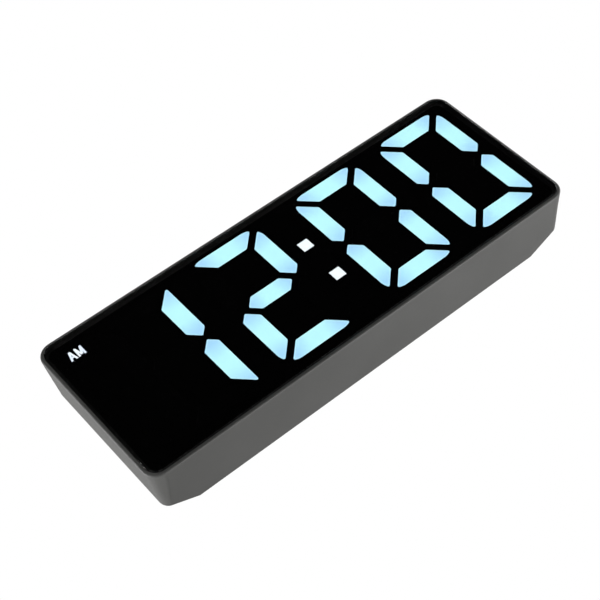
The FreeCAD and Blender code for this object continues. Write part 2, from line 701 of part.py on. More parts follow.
def letter_p():
    half = LETTER_STROKE / 2.0
    right = LETTER_P_WIDTH - half
    bowl_low = LETTER_HEIGHT * LETTER_P_BOWL
    strokes = [upright(half), stroke_between(right, bowl_low, right, LETTER_HEIGHT)]
    for low in (bowl_low, LETTER_HEIGHT - LETTER_STROKE):
        high = low + LETTER_STROKE
        strokes.append([(half, low), (right, low), (right, high), (half, high)])
    return strokes


def word(letters, z, depth0, depth1):
    """Small bold letters, centred on the indicator column. Letters are (outline, width) pairs."""
    total = sum(width for outline, width in letters) + LETTER_SPACE * (len(letters) - 1)
    start = INDICATOR_X - total / 2.0
    base = MIDDLE_Z + z - LETTER_HEIGHT / 2.0
    solids = []
    for outline, width in letters:
        strokes = []
        for points in outline():
            strokes.append(prism([(start + x, base + up) for x, up in points], depth0, depth1))
        solids.append(strokes[0].multiFuse(strokes[1:]).removeSplitter())
        start += width + LETTER_SPACE
    return solids


def indicator_words():
    am = ([(letter_a, LETTER_A_WIDTH), (letter_m, LETTER_M_WIDTH)], AM_Z)
    pm = ([(letter_p, LETTER_P_WIDTH), (letter_m, LETTER_M_WIDTH)], PM_Z)
    return am, pm


def indicator_pocket(z, grow, depth0, depth1):
    width = LETTER_A_WIDTH + LETTER_M_WIDTH + LETTER_SPACE + 2.0 * (INDICATOR_MARGIN + grow)
    height = LETTER_HEIGHT + 2.0 * (INDICATOR_MARGIN + grow)
    return block(INDICATOR_X, MIDDLE_Z + z, width, height, depth0, depth1)


def indicator(letters, z):
    """Raised letters on a small slab that fills the light box pocket."""
    front = LENS_BACK + DIFFUSER_GAP
    slab = indicator_pocket(z, 0.0, LIGHT_FRONT, LIGHT_FRONT + DIFFUSER_DEPTH)
    return slab.multiFuse(word(letters, z, front, LIGHT_FRONT + DIFFUSER_DEPTH / 2.0)).removeSplitter()


def all_digits():
    hours, minutes = digit_places()
    return hours + minutes


def mask_film():
    """Black film behind the lens, with a window for each bar, dot and letter."""
    width, height, radius = tape_window()
    inset = 2.0 * DIFFUSER_GAP
    film = rounded_plate(0, MIDDLE_Z, width - inset, height - inset, radius, LENS_BACK, LEDGE_FRONT)
    deep = LEDGE_FRONT + OVERSHOOT
    near = LENS_BACK - OVERSHOOT
    windows = segment_group(all_digits(), True, DIFFUSER_GAP, near, deep)
    windows += segment_group(all_digits(), False, DIFFUSER_GAP, near, deep)
    windows += colon_group(DIFFUSER_GAP, near, deep)
    for letters, z in indicator_words():
        windows += word(letters, z, near, deep)
    return film.cut(Part.Compound(windows))


def light_box():
    """White reflector with a straight well behind each bar, pinned to the board."""
    open_width, open_height, open_radius = opening_size()
    inset = 2.0 * LIGHT_BOX_GAP
    width = open_width - inset
    height = open_height - inset
    front = rounded_plate(0, MIDDLE_Z, width, height, open_radius, LIGHT_FRONT, BOARD_FRONT)
    flange = drafted_prism(WALL + LIGHT_BOX_GAP, LIGHT_FLANGE, BOARD_FRONT)
    reflector = front.fuse(flange)
    near = LIGHT_FRONT - OVERSHOOT
    deep = BOARD_FRONT + OVERSHOOT
    wells = segment_group(all_digits(), True, 2.0 * DIFFUSER_GAP, near, deep)
    wells += segment_group(all_digits(), False, 2.0 * DIFFUSER_GAP, near, deep)
    wells += colon_group(2.0 * DIFFUSER_GAP, near, deep)
    for letters, z in indicator_words():
        wells.append(indicator_pocket(z, DIFFUSER_GAP, near, deep))
    wells += bosses(PART_GAP, near, deep, deep)
    reflector = reflector.cut(Part.Compound(wells[:-1])).cut(wells[-1])
    pins = []
    for x, z in stake_places():
        pins.append(rod(x, z, STAKE_RADIUS, BOARD_FRONT - JOIN_DEPTH, BOARD_BACK + STAKE_RISE))
    return reflector.multiFuse(pins).removeSplitter()


def stake_places():
    return [(x, MIDDLE_Z + side * STAKE_REACH) for x in BOSS_XS for side in (-1, 1)]


def board_outline():
    width = 2.0 * (half_width_at(BOARD_BACK) - WALL - BOARD_END_GAP)
    height = HEIGHT - 2.0 * (WALL + BOARD_EDGE_GAP)
    return width, height


def main_board():
    width, height = board_outline()
    board = rounded_plate(0, MIDDLE_Z, width, height, CORNER_RADIUS - WALL, BOARD_FRONT, BOARD_BACK)
    near = BOARD_FRONT - OVERSHOOT
    deep = BOARD_BACK + OVERSHOOT
    for notch in boss_group(case_boss_places(), CASE_BOSS_RADIUS, PART_GAP, near, deep):
        board = board.cut(notch)
    for x, z, wall in board_boss_places():
        board = board.cut(rod(x, MIDDLE_Z + z, BOARD_SCREW_RADIUS + 2.0 * SCREW_GAP, near, deep))
    for x, z in stake_places():
        board = board.cut(rod(x, z, STAKE_RADIUS + PLUNGER_GAP, near, deep))
    return board


def display_leds():
    """Two small LEDs in each bar's well, and one behind each dot and word."""
    front = BOARD_FRONT - LED_HEIGHT
    quarter = DIGIT_HEIGHT / 4.0
    bar_x = (DIGIT_WIDTH - STROKE) / 2.0
    bar_z = (DIGIT_HEIGHT - STROKE) / 2.0
    reach = STROKE / 2.0
    leds = []
    middle = MIDDLE_Z + DIGIT_RAISE
    for x, corner, bars in all_digits():
        for row in (-1, 0, 1):
            for side in (-1, 1):
                spot = x + side * reach
                leds.append(block(spot, middle + row * bar_z, LED_LENGTH, LED_WIDTH, front, BOARD_FRONT))
        for column in (-1, 1):
            for half in (-1, 1):
                for side in (-1, 1):
                    spot = middle + half * quarter + side * reach
                    leds.append(block(x + column * bar_x, spot, LED_WIDTH, LED_LENGTH, front, BOARD_FRONT))
    for z in (COLON_UPPER, COLON_LOWER):
        leds.append(block(COLON_X, MIDDLE_Z + z, LED_LENGTH, LED_WIDTH, front, BOARD_FRONT))
    for z in (AM_Z, PM_Z):
        leds.append(block(INDICATOR_X, MIDDLE_Z + z, LED_LENGTH, LED_WIDTH, front, BOARD_FRONT))
    return Part.Compound(leds)


# ---- small parts on the back of the board ----

def chip(x, z, length, pin_count):
    """A flat chip with a row of pins along its upper and lower sides."""
    solids = [block(x, z, length, CHIP_WIDTH, BOARD_BACK + CHIP_FOOT / 2.0, BOARD_BACK + CHIP_HEIGHT)]
    for number in range(pin_count):
        pin_x = x + (number - (pin_count - 1) / 2.0) * CHIP_PIN_PITCH
        for side in (-1, 1):
            pin_z = z + side * (CHIP_WIDTH + CHIP_PIN_REACH) / 2.0
            foot_top = BOARD_BACK + CHIP_FOOT
            solids.append(block(pin_x, pin_z, CHIP_PIN_WIDTH, CHIP_PIN_REACH, BOARD_BACK, foot_top))
    return Part.Compound(solids)


def small_blocks(first, counts, steps, size):
    """A grid of small surface-mounted parts."""
    length, width, height = size
    solids = []
    for column in range(counts[0]):
        for row in range(counts[1]):
            spot_x = first[0] + column * steps[0]
            spot_z = MIDDLE_Z + first[1] + row * steps[1]
            solids.append(block(spot_x, spot_z, length, width, BOARD_BACK, BOARD_BACK + height))
    return Part.Compound(solids)


def crystal():
    """A small watch crystal lying on the board, with its two legs."""
    depth = BOARD_BACK + CRYSTAL_RADIUS
    z = MIDDLE_Z + CRYSTAL_UP
    can = rod_along_x(CRYSTAL_X, CRYSTAL_X + CRYSTAL_LENGTH, depth, z, CRYSTAL_RADIUS)
    legs = []
    for side in (-1, 1):
        leg_z = z + side * CRYSTAL_LEG_SPREAD
        leg_depth = BOARD_BACK + CRYSTAL_RADIUS / 2.0
        leg_start = CRYSTAL_X - CRYSTAL_LEG_LENGTH
        legs.append(rod_along_x(leg_start, CRYSTAL_X, leg_depth, leg_z, CRYSTAL_LEG_RADIUS))
    return can.multiFuse(legs)


def round_can(x, z, radius, start, top):
    """An upright can on the board with a rounded top edge."""
    can = rod(x, z, radius, start, top)
    return can.makeFillet(CAN_ROUND, edges_where(can, lambda p: abs(p.y - y_at(top)) < 0.01))


def smoothing_capacitor():
    z = MIDDLE_Z + CAPACITOR_UP
    step = BOARD_BACK + CAPACITOR_BASE_HEIGHT
    base = block(CAPACITOR_X, z, CAPACITOR_BASE, CAPACITOR_BASE, BOARD_BACK, step)
    return base.fuse(round_can(CAPACITOR_X, z, CAPACITOR_RADIUS, step, BOARD_BACK + CAPACITOR_HEIGHT))


def buzzer():
    can = round_can(BUZZER_X, BUZZER_Z, BUZZER_RADIUS, BOARD_BACK, BOARD_BACK + BUZZER_HEIGHT)
    return can.cut(rod(BUZZER_X, BUZZER_Z, SOUND_HOLE_RADIUS, BOARD_BACK + SOUND_HOLE_FLOOR, DEPTH))


def usb_shell():
    mouth = usb_mouth_x()
    back = mouth - USB_LENGTH
    depth = usb_depth()
    shell = usb_bar(back, mouth, 0.0).cut(usb_bar(back - OVERSHOOT, mouth + OVERSHOOT, -USB_SHEET))
    foot_top = depth - USB_HEIGHT / 2.0 + USB_SHEET / 2.0
    feet = []
    for side in (-1, 1):
        foot_z = USB_Z + side * (USB_WIDTH / 2.0 - USB_ROUND)
        low = foot_z - USB_FOOT / 2.0
        feet.append(box(back + USB_FOOT, back + 2.0 * USB_FOOT, BOARD_BACK, foot_top, low, low + USB_FOOT))
    return shell.multiFuse(feet).removeSplitter()


def usb_tongue():
    """The plastic insert: a block that closes the shell and the thin tongue in its mouth."""
    mouth = usb_mouth_x()
    back = mouth - USB_LENGTH
    base = usb_bar(back, back + USB_BASE_LENGTH, -USB_SHEET - TOUCH_GAP)
    start = back + USB_BASE_LENGTH / 2.0
    tongue = rounded_bar_x(start, mouth - USB_TONGUE_SUNK, usb_depth(), USB_Z, USB_TONGUE_THICKNESS,
                           USB_TONGUE_WIDTH, USB_TONGUE_ROUND)
    return base.fuse(tongue).removeSplitter()


# ---- rear cover, battery bay and door ----

def door_opening(gap):
    """The door's outline, (x0, x1, z0, z1), grown by gap."""
    reach = DOOR_OVERLAP - DOOR_GAP + gap
    return BAY_LEFT - reach, BAY_RIGHT + reach, BAY_Z - reach, BAY_TOP + reach


def grip_cut(x):
    """A shallow fingernail scoop at the door's lower edge."""
    centre_depth = DEPTH + GRIP_RADIUS - GRIP_DEPTH
    centre = FreeCAD.Vector(x, y_at(centre_depth), door_opening(0.0)[2])
    return Part.makeSphere(GRIP_RADIUS, centre)


def button_xs():
    middle = (len(BUTTON_NAMES) - 1) / 2.0
    return [BAY_X + (number - middle) * BUTTON_PITCH for number in range(len(BUTTON_NAMES))]


def rear_cover(blank):
    outline = drafted_prism(WALL + COVER_GAP, LEDGE_BACK, DEPTH + OVERSHOOT)
    plate = blank.common(outline).cut(depth_profile(COVER))
    additions = []
    for x, z, wall in case_boss_places():
        pad_start = COVER_INSIDE - PAD_THICKNESS
        additions.append(rod(x, MIDDLE_Z + z, PAD_RADIUS, pad_start, COVER_INSIDE + JOIN_DEPTH))
    tub_top = DOOR_INSIDE - TOUCH_GAP
    additions.append(box(BAY_LEFT - BAY_WALL, BAY_RIGHT + BAY_WALL, BAY_FLOOR_FRONT, tub_top,
                         BAY_Z - BAY_WALL, BAY_TOP + BAY_WALL))
    xs = button_xs()
    strip_length = xs[-1] - xs[0] + 2.0 * (BUTTON_RADIUS + CHANNEL_MARGIN)
    strip_height = 2.0 * (BUTTON_RADIUS + CHANNEL_MARGIN)
    strip_x = (xs[0] + xs[-1]) / 2.0
    thick_length = strip_length + 2.0 * CHANNEL_DEPTH
    thick_height = strip_height + 2.0 * CHANNEL_DEPTH
    additions.append(rounded_plate(strip_x, BUTTON_Z, thick_length, thick_height, strip_height / 2.0,
                                   BUTTON_PLATE_INSIDE, COVER_INSIDE + JOIN_DEPTH))
    additions += snap_tabs()
    cover = plate.multiFuse(additions)
    x0, x1, z0, z1 = door_opening(DOOR_GAP)
    cover = cover.cut(box(x0, x1, tub_top, DEPTH + OVERSHOOT, z0, z1))
    cover = cover.cut(box(BAY_LEFT, BAY_RIGHT, BAY_FLOOR_BACK, DEPTH + OVERSHOOT, BAY_Z, BAY_TOP))
    bore = HINGE_PIN_RADIUS + HINGE_GAP
    deep = HINGE_PIN_LENGTH + DOOR_GAP
    cover = cover.cut(rod_along_x(x0 - deep, x1 + deep, HINGE_DEPTH, HINGE_Z, bore))
    cover = cover.cut(grip_cut(BAY_X))
    channel = rounded_plate(strip_x, BUTTON_Z, strip_length, strip_height, strip_height / 2.0 - 0.01,
                            CHANNEL_FLOOR, DEPTH + OVERSHOOT)
    holes = [channel]
    hole_start = BUTTON_PLATE_INSIDE - OVERSHOOT
    for x in xs:
        holes.append(rod(x, BUTTON_Z, BUTTON_RADIUS + BUTTON_GAP, hole_start, DEPTH + OVERSHOOT))
    for x, z, wall in case_boss_places():
        holes.append(rod(x, MIDDLE_Z + z, CASE_SCREW_RADIUS + PLUNGER_GAP, hole_start, DEPTH))
        holes.append(rod(x, MIDDLE_Z + z, SCREW_HEAD_RADIUS + PART_GAP, COVER_INSIDE, DEPTH + OVERSHOOT))
    for number in range(GRILLE_COUNT):
        angle = 2.0 * math.pi * number / GRILLE_COUNT
        hole_x = BUZZER_X + GRILLE_RADIUS * math.cos(angle)
        hole_z = BUZZER_Z + GRILLE_RADIUS * math.sin(angle)
        holes.append(rod(hole_x, hole_z, GRILLE_HOLE_RADIUS, COVER_INSIDE - OVERSHOOT, DEPTH + OVERSHOOT))
    holes.append(rod(BUZZER_X, BUZZER_Z, GRILLE_HOLE_RADIUS, COVER_INSIDE - OVERSHOOT, DEPTH + OVERSHOOT))
    for side, z in tail_places():
        wall_x = (BAY_LEFT - BAY_WALL if side < 0 else BAY_RIGHT) + BAY_WALL / 2.0
        slit_length = BAY_WALL + 2.0 * TAIL_GAP
        slit_height = TAIL_WIDTH + 2.0 * TAIL_GAP
        near = CELL_DEPTH - CONTACT_THICKNESS
        holes.append(block(wall_x, z, slit_length, slit_height, near, near + 2.0 * CONTACT_THICKNESS))
    for hole in holes:
        cover = cover.cut(hole)
    return cover.removeSplitter()


def snap_tabs():
    """Four flat tabs at the cover's ends that reach in behind the end walls."""
    tabs = []
    outer = half_width_at(END_WALL_DEPTH) - WALL - COVER_GAP
    top = END_WALL_DEPTH + SNAP_ROOT
    for side in (-1, 1):
        for z in (-SNAP_Z, SNAP_Z):
            x0, x1 = sorted((side * outer, side * (outer - SNAP_THICKNESS)))
            if side < 0:
                low = top - SNAP_LENGTH
            else:
                low = top - SNAP_LENGTH / 2.0
            z0 = MIDDLE_Z + z - SNAP_WIDTH / 2.0
            tab = box(x0, x1, low, top, z0, z0 + SNAP_WIDTH)
            tabs.append(tab)
    return tabs


def latch_tongue():
    """A stiff tongue under the door's lower edge, with a small catch bump."""
    z0 = BAY_Z + LATCH_LIFT
    half = LATCH_WIDTH / 2.0
    tip = DOOR_INSIDE - LATCH_DEPTH
    tongue = box(BAY_X - half, BAY_X + half, tip, DOOR_INSIDE + LATCH_ROOT, z0, z0 + LATCH_THICKNESS)
    near = tip + LATCH_BUMP_PLACE
    far = near + LATCH_BUMP_LENGTH
    bump = box(BAY_X - half, BAY_X + half, near, far, z0 - LATCH_BUMP, z0 + LATCH_THICKNESS / 2.0)
    return tongue.fuse(bump)


def door_arrow():
    """A shallow triangle that points down to the fingernail scoop."""
    tip = door_opening(0.0)[2] + ARROW_RAISE
    top = tip + ARROW_HEIGHT
    half = ARROW_WIDTH / 2.0
    points = [(BAY_X, tip), (BAY_X + half, top), (BAY_X - half, top)]
    return prism(points, DEPTH - ARROW_DEPTH, DEPTH + OVERSHOOT)


def battery_door():
    x0, x1, z0, z1 = door_opening(0.0)
    panel = box(x0, x1, DOOR_INSIDE, DEPTH, z0, HINGE_Z)
    lower = edges_where(panel, lambda p: abs(p.z - z0) < 0.01 and abs(p.y - REAR_Y) < 0.01)
    panel = panel.makeChamfer(DOOR_CHAMFER, lower)
    barrel = rod_along_x(x0, x1, HINGE_DEPTH, HINGE_Z, DOOR_THICKNESS / 2.0)
    pins = rod_along_x(x0 - HINGE_PIN_LENGTH, x1 + HINGE_PIN_LENGTH, HINGE_DEPTH, HINGE_Z, HINGE_PIN_RADIUS)
    door = panel.multiFuse([barrel, pins, latch_tongue()])
    return door.cut(grip_cut(BAY_X)).cut(door_arrow()).removeSplitter()


def cell_z(number):
    return BAY_Z + CELL_PITCH * (number + 0.5)


def cell_points_right(number):
    """Cells lie head to tail: the top and bottom ones point left."""
    return number % 2 == 1


def battery_cell(number):
    z = cell_z(number)
    can_length = CELL_LENGTH - CELL_NUB_LENGTH
    if cell_points_right(number):
        start = BAY_LEFT + SPRING_ROOM
        nub_start = start + can_length
    else:
        start = BAY_LEFT + PLATE_ROOM + CELL_NUB_LENGTH
        nub_start = start - CELL_NUB_LENGTH
    can = rod_along_x(start, start + can_length, CELL_DEPTH, z, CELL_RADIUS)
    can = can.makeFillet(CELL_ROUND, edges_where(can, lambda p: abs(p.x - start) < 0.01))
    far = start + can_length
    can = can.makeFillet(CELL_ROUND, edges_where(can, lambda p: abs(p.x - far) < 0.01))
    nub = rod_along_x(nub_start - 0.01, nub_start + CELL_NUB_LENGTH + 0.01, CELL_DEPTH, z, CELL_NUB_RADIUS)
    return can.fuse(nub).removeSplitter()


def spring_sides():
    """For each cell, which end of the bay holds its spring: -1 left, 1 right."""
    return [(-1 if cell_points_right(number) else 1, cell_z(number)) for number in range(CELL_COUNT)]


def tail_places():
    """The two contacts that carry the leads: the top cell's left end, the bottom cell's right end."""
    return [(-1, cell_z(CELL_COUNT - 1)), (1, cell_z(0))]


def contact_springs():
    springs = []
    length = SPRING_ROOM - CONTACT_THICKNESS - 2.0 * TOUCH_GAP
    rise = length - 2.0 * SPRING_WIRE_RADIUS
    for side, z in spring_sides():
        helix = Part.makeHelix(rise / SPRING_TURNS, rise, SPRING_BASE_RADIUS, -SPRING_TAPER)
        wire_start = FreeCAD.Vector(SPRING_BASE_RADIUS, 0, 0)
        circle = Part.Circle(wire_start, FreeCAD.Vector(0, 1, 0), SPRING_WIRE_RADIUS)
        section = Part.Wire([circle.toShape()])
        coil = Part.Wire(helix.Edges).makePipeShell([section], True, True)
        wall_x = BAY_LEFT if side < 0 else BAY_RIGHT
        start_x = wall_x - side * (CONTACT_THICKNESS + TOUCH_GAP + SPRING_WIRE_RADIUS)
        turn = FreeCAD.Rotation(FreeCAD.Vector(0, 1, 0), -side * 90.0)
        coil.Placement = FreeCAD.Placement(FreeCAD.Vector(start_x, y_at(CELL_DEPTH), z), turn)
        springs.append(coil)
    return Part.Compound(springs)


def contact_plates():
    plates = []
    half = CONTACT_WIDTH / 2.0
    spring_spots = spring_sides()
    for side in (-1, 1):
        wall_x = BAY_LEFT if side < 0 else BAY_RIGHT
        x0, x1 = sorted((wall_x, wall_x - side * CONTACT_THICKNESS))
        for number in range(CELL_COUNT):
            z = cell_z(number)
            plate = box(x0, x1, CELL_DEPTH - half, CELL_DEPTH + half, z - half, z + half)
            if (side, z) not in spring_spots:
                nub_root = wall_x - side * CONTACT_THICKNESS / 2.0
                nub_tip = wall_x - side * (PLATE_ROOM - TOUCH_GAP)
                n0, n1 = sorted((nub_root, nub_tip))
                plate = plate.fuse(rod_along_x(n0, n1, CELL_DEPTH, z, CONTACT_NUB_RADIUS))
            if (side, z) in tail_places():
                t0, t1 = sorted((wall_x, wall_x + side * (BAY_WALL + TAIL_LENGTH)))
                half_tail = CONTACT_THICKNESS / 2.0
                plate = plate.fuse(box(t0, t1, CELL_DEPTH - half_tail, CELL_DEPTH + half_tail,
                                       z - TAIL_WIDTH / 2.0, z + TAIL_WIDTH / 2.0))
            plates.append(plate.removeSplitter())
    return Part.Compound(plates)


def smooth_path(points):
    """Straight runs joined by tangent arcs, each as large as its two runs allow."""
    edges = []
    start = points[0]
    for before, corner, after in zip(points, points[1:], points[2:]):
        run_in = corner - before
        run_out = after - corner
        turn = run_in.getAngle(run_out)
        cut = 0.45 * min(run_in.Length, run_out.Length)
        radius = cut / math.tan(turn / 2.0)
        enter = corner - FreeCAD.Vector(run_in).normalize() * cut
        leave = corner + FreeCAD.Vector(run_out).normalize() * cut
        inward = (FreeCAD.Vector(run_out).normalize() - FreeCAD.Vector(run_in).normalize()).normalize()
        middle = corner + inward * (radius / math.cos(turn / 2.0) - radius)
        edges.append(Part.LineSegment(start, enter).toShape())
        edges.append(Part.Arc(enter, middle, leave).toShape())
        start = leave
        print("lead bend radius", round(radius, 2))
    edges.append(Part.LineSegment(start, points[-1]).toShape())
    return Part.Wire(edges)


def battery_lead(side, z):
    """An insulated lead from a contact's tail to the board."""
    tail_end = (BAY_LEFT - BAY_WALL if side < 0 else BAY_RIGHT + BAY_WALL) + side * TAIL_LENGTH
    start = FreeCAD.Vector(tail_end + side * TOUCH_GAP, y_at(CELL_DEPTH), z)
    fall = CELL_DEPTH - BOARD_BACK
    points = [start]
    for along, down, up in LEAD_POINTS:
        points.append(start + FreeCAD.Vector(side * along, down * fall, up))
    path = smooth_path(points)
    circle = Part.Circle(start, points[1] - start, LEAD_RADIUS)
    section = Part.Wire([circle.toShape()])
    tube = path.makePipeShell([section], True, False)
    print("lead volume over section times length",
          round(tube.Volume / (math.pi * LEAD_RADIUS ** 2 * path.Length), 3))
    return tube, points[-1]


def solder_joints(ends):
    """A dome of solder on the board round the foot of each lead."""
    domes = []
    room = 4.0 * SOLDER_RADIUS
    for end in ends:
        ball = Part.makeSphere(SOLDER_RADIUS, FreeCAD.Vector(end.x, y_at(BOARD_BACK), end.z))
        domes.append(ball.common(block(end.x, end.z, room, room, BOARD_BACK, DEPTH)))
    return Part.Compound(domes)


# ---- screws ----

def screw(x, z, head_depth, head_radius, head_height, shank_radius, shank_length):
    """A pan-head screw driven in from the back, with a cross recess."""
    top = head_depth + head_height
    head = rod(x, z, head_radius, head_depth, top)
    rim = edges_where(head, lambda p: abs(p.y - y_at(top)) < 0.01)
    head = head.makeFillet(head_height * HEAD_ROUND, rim)
    shank = rod(x, z, shank_radius, head_depth - shank_length, head_depth)
    long_side = head_radius * RECESS_LENGTH
    short_side = head_radius * RECESS_WIDTH
    floor = top - head_height * RECESS_DEPTH
    cross = block(x, z, long_side, short_side, floor, top + OVERSHOOT)
    cross = cross.fuse(block(x, z, short_side, long_side, floor, top + OVERSHOOT))
    return head.fuse(shank).cut(cross).removeSplitter()


def case_screws():
    head = COVER_INSIDE + TOUCH_GAP
    screws = []
    for x, z, wall in case_boss_places():
        screws.append(screw(x, MIDDLE_Z + z, head, SCREW_HEAD_RADIUS, SCREW_HEAD_HEIGHT,
                            CASE_SCREW_RADIUS, CASE_SCREW_LENGTH))
    return Part.Compound(screws)


def board_screws():
    head = BOARD_BACK + TOUCH_GAP
    screws = []
    for x, z, wall in board_boss_places():
        screws.append(screw(x, MIDDLE_Z + z, head, BOARD_HEAD_RADIUS, BOARD_HEAD_HEIGHT,
                            BOARD_SCREW_RADIUS, BOARD_SCREW_LENGTH))
    return Part.Compound(screws)


# ---- buttons and their switches ----

def push_button(x):
    top = DEPTH - BUTTON_BELOW_BACK
    flange_top = BUTTON_PLATE_INSIDE - BUTTON_FLANGE_GAP
    flange_bottom = flange_top - BUTTON_FLANGE_THICKNESS
    cap = rod(x, BUTTON_Z, BUTTON_RADIUS, flange_bottom, top)
    cap = cap.makeFillet(BUTTON_ROUND, edges_where(cap, lambda p: abs(p.y - y_at(top)) < 0.01))
    flange = rod(x, BUTTON_Z, BUTTON_RADIUS + BUTTON_FLANGE, flange_bottom, flange_top)
    stem = rod(x, BUTTON_Z, BUTTON_STEM_RADIUS, PLUNGER_TOP + TOUCH_GAP, flange_bottom)
    return cap.multiFuse([flange, stem]).removeSplitter()


def button_switch(x):
    body = block(x, BUTTON_Z, SWITCH_SIZE, SWITCH_SIZE, BOARD_BACK, SWITCH_TOP)
    sunk = PLUNGER_SUNK + SWITCH_TRAVEL + 2.0 * PLUNGER_GAP
    well = rod(x, BUTTON_Z, PLUNGER_RADIUS + PLUNGER_GAP, SWITCH_TOP - sunk, SWITCH_TOP + OVERSHOOT)
    body = body.cut(well)
    corner = SWITCH_SIZE / 2.0 - RIVET_INSET
    rivets = []
    for side_x in (-1, 1):
        for side_z in (-1, 1):
            spot = (x + side_x * corner, BUTTON_Z + side_z * corner)
            root = SWITCH_TOP - RIVET_ROOT
            rivets.append(rod(spot[0], spot[1], RIVET_RADIUS, root, SWITCH_TOP + RIVET_RISE))
    return body.multiFuse(rivets)


def button_plunger(x):
    plunger = rod(x, BUTTON_Z, PLUNGER_RADIUS, SWITCH_TOP - PLUNGER_SUNK, PLUNGER_TOP)
    rim = edges_where(plunger, lambda p: abs(p.y - y_at(PLUNGER_TOP)) < 0.01)
    return plunger.makeFillet(PLUNGER_ROUND, rim)


def snooze_bar():
    cap = snooze_plate(0.0, SNOOZE_FLANGE_BOTTOM, HEIGHT + SNOOZE_RISE)
    top = HEIGHT + SNOOZE_RISE
    cap = cap.makeFillet(SNOOZE_ROUND, edges_where(cap, lambda p: abs(p.z - top) < 0.01))
    flange = snooze_plate(SNOOZE_FLANGE, SNOOZE_FLANGE_BOTTOM, SNOOZE_FLANGE_TOP)
    foot = FreeCAD.Vector(0, y_at(SNOOZE_SWITCH_AXIS), SNOOZE_STEM_BOTTOM)
    stem_radius = SNOOZE_PLUNGER_RADIUS + SNOOZE_STEM_EXTRA
    stem = Part.makeCylinder(stem_radius, SNOOZE_STEM_LENGTH + SNOOZE_FLANGE_THICKNESS / 2.0, foot)
    return cap.multiFuse([flange, stem]).removeSplitter()


def snooze_plunger_rod(radius, z0, z1):
    foot = FreeCAD.Vector(0, y_at(SNOOZE_SWITCH_AXIS), z0)
    return Part.makeCylinder(radius, z1 - z0, foot)


def snooze_switch():
    top = SNOOZE_SWITCH_TOP
    bottom = top - SNOOZE_SWITCH_HEIGHT
    half = SWITCH_SIZE / 2.0
    body = box(-half, half, BOARD_BACK, BOARD_BACK + SNOOZE_SWITCH_DEPTH, bottom, top)
    sunk = PLUNGER_SUNK + SNOOZE_TRAVEL + 2.0 * PLUNGER_GAP
    return body.cut(snooze_plunger_rod(SNOOZE_PLUNGER_RADIUS + PLUNGER_GAP, top - sunk, top + OVERSHOOT))


def snooze_plunger():
    return snooze_plunger_rod(SNOOZE_PLUNGER_RADIUS, SNOOZE_SWITCH_TOP - PLUNGER_SUNK, SNOOZE_PLUNGER_TOP)


# ---- export ----

def save(node, shape):
    if not shape.isValid():
        print("not valid:", node)
    print(node, "solids", len(shape.Solids), "volume", round(shape.Volume, 2))
    shape.exportStep("parts/" + node + ".step")


def main():
    os.makedirs("parts", exist_ok=True)
    blank = shell_blank()
    save("front_housing", front_housing(blank))
    save("rear_cover", rear_cover(blank))
    save("front_lens", front_lens())
    save("lens_tape", lens_tape())
    save("mask_film", mask_film())
    save("light_box", light_box())

    hours, minutes = digit_places()
    front = LENS_BACK + DIFFUSER_GAP
    back = LIGHT_FRONT + DIFFUSER_DEPTH
    save("hour_segments_lit", Part.Compound(segment_group(hours, True, 0.0, front, back)))
    save("minute_segments_lit", Part.Compound(segment_group(minutes, True, 0.0, front, back)))
    save("segments_unlit", Part.Compound(segment_group(all_digits(), False, 0.0, front, back)))
    save("colon_dots", Part.Compound(colon_group(0.0, front, back)))
    am, pm = indicator_words()
    save("am_indicator", indicator(*am))
    save("pm_indicator", indicator(*pm))

    save("main_board", main_board())
    save("display_leds", display_leds())
    driver_z = MIDDLE_Z + DRIVER_CHIP_UP
    save("display_driver_chip", chip(DRIVER_CHIP_X, driver_z, DRIVER_CHIP_LENGTH, DRIVER_CHIP_PINS))
    clock_z = MIDDLE_Z + CLOCK_CHIP_UP
    save("clock_chip", chip(CLOCK_CHIP_X, clock_z, CLOCK_CHIP_LENGTH, CLOCK_CHIP_PINS))
    save("crystal", crystal())
    save("smoothing_capacitor", smoothing_capacitor())
    save("chip_resistors", small_blocks(*RESISTOR_GRID))
    save("chip_capacitors", small_blocks(*CHIP_CAPACITOR_GRID))
    save("digit_transistors", small_blocks(*TRANSISTOR_GRID))
    save("buzzer", buzzer())
    save("usb_shell", usb_shell())
    save("usb_tongue", usb_tongue())

    save("snooze_bar", snooze_bar())
    save("snooze_switch", snooze_switch())
    save("snooze_plunger", snooze_plunger())
    for name, x in zip(BUTTON_NAMES, button_xs()):
        save(name + "_button", push_button(x))
        save(name + "_switch", button_switch(x))
        save(name + "_plunger", button_plunger(x))

    save("battery_door", battery_door())
    for number in range(CELL_COUNT):
        save("battery_cell_" + str(number + 1), battery_cell(number))
    save("contact_springs", contact_springs())
    save("contact_plates", contact_plates())
    positive, negative = tail_places()
    red_lead, red_end = battery_lead(*positive)
    black_lead, black_end = battery_lead(*negative)
    save("battery_lead_red", red_lead)
    save("battery_lead_black", black_lead)
    save("solder_joints", solder_joints([red_end, black_end]))

    save("case_screws", case_screws())
    save("board_screws", board_screws())


main()
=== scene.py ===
import json
import math

import bmesh
import bpy
from mathutils import Matrix, Vector


